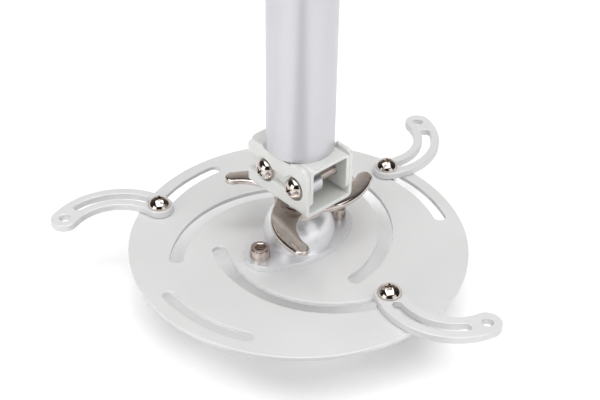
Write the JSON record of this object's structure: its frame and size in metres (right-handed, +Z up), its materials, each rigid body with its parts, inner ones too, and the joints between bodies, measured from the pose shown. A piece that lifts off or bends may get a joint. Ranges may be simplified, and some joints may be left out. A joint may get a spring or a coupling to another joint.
{
  "type": "projector ceiling mount",
  "caption": "Ceiling mount for a projector: drop tube, nested-channel bracket, ball joint with a three-bladed wing nut, and a slotted disc with curved arms on adjustable screws.",
  "frame": {"origin": "centre of the ceiling plate's top face, where it meets the ceiling", "axes": "+Z up along the drop tube, so the mount hangs in -Z; +X to the right and +Y away from the picture's camera"},
  "size_m": [0.223, 0.1978, 0.2456],
  "materials": {
    "silver_powder_coat": "satin",
    "bright_nickel": "polished",
    "turned_steel": "satin",
    "die_cast_zinc": "as cast",
    "black_oxide_steel": "oiled",
    "white_nylon": "matt"
  },
  "bodies": {
    "hanger": {"ceiling_plate": "silver_powder_coat", "set_screws": "black_oxide_steel", "drop_tube": "silver_powder_coat", "upper_channel": "silver_powder_coat", "lower_channel": "silver_powder_coat", "bolt_sleeve": "turned_steel", "bracket_washers": "bright_nickel", "bracket_bolts": "bright_nickel", "bracket_nuts": "bright_nickel", "stem_bolt": "bright_nickel", "lock_nut": "bright_nickel", "top_nut": "bright_nickel"},
    "wing": {"wing_nut": "bright_nickel"},
    "cup": {"ball_cup": "die_cast_zinc"},
    "liner": {"ball_liner": "white_nylon"},
    "plate": {"ball_dome": "silver_powder_coat", "disc_plate": "silver_powder_coat", "flange_screws": "bright_nickel", "flange_nuts": "bright_nickel"},
    "clamp_1": {"arm_screw_1": "bright_nickel", "arm_nut_1": "bright_nickel"},
    "arm_1": {"arm_1": "silver_powder_coat"},
    "clamp_2": {"arm_screw_2": "bright_nickel", "arm_nut_2": "bright_nickel"},
    "arm_2": {"arm_2": "silver_powder_coat"},
    "clamp_3": {"arm_screw_3": "bright_nickel", "arm_nut_3": "bright_nickel"},
    "arm_3": {"arm_3": "silver_powder_coat"}
  },
  "joints": [
    {"name": "wing_nut_turn", "type": "hinge", "parent": "hanger", "child": "wing", "pos_m": [0, 0, -0.232], "axis": [0, 0, 1], "range_deg": [0, 120]},
    {"name": "pan", "type": "hinge", "parent": "hanger", "child": "cup", "pos_m": [0, 0, -0.232], "axis": [0, 0, 1], "continuous": true},
    {"name": "tilt_x", "type": "hinge", "parent": "cup", "child": "liner", "pos_m": [0, 0, -0.232], "axis": [1, 0, 0], "range_deg": [-12, 12]},
    {"name": "tilt_y", "type": "hinge", "parent": "liner", "child": "plate", "pos_m": [0, 0, -0.232], "axis": [0, 1, 0], "range_deg": [-12, 12]},
    {"name": "arm_1_slide", "type": "hinge", "parent": "plate", "child": "clamp_1", "pos_m": [0, 0, -0.24], "axis": [0, 0, 1], "range_deg": [-34.7, 1.6]},
    {"name": "arm_1_swing", "type": "hinge", "parent": "clamp_1", "child": "arm_1", "pos_m": [-0.07274, 0.02238, -0.24], "axis": [0, 0, 1], "range_deg": [-75, 35]},
    {"name": "arm_2_slide", "type": "hinge", "parent": "plate", "child": "clamp_2", "pos_m": [0, 0, -0.24], "axis": [0, 0, 1], "range_deg": [-35.5, 0.8]},
    {"name": "arm_2_swing", "type": "hinge", "parent": "clamp_2", "child": "arm_2", "pos_m": [0.04696, 0.05989, -0.24], "axis": [0, 0, 1], "range_deg": [-50, 75]},
    {"name": "arm_3_slide", "type": "hinge", "parent": "plate", "child": "clamp_3", "pos_m": [0.01596, 0.006, -0.24], "axis": [0, 0, 1], "range_deg": [-103, 0.7]},
    {"name": "arm_3_swing", "type": "hinge", "parent": "clamp_3", "child": "arm_3", "pos_m": [0.0438, -0.04465, -0.24], "axis": [0, 0, 1], "range_deg": [-25, 55]}
  ]
}
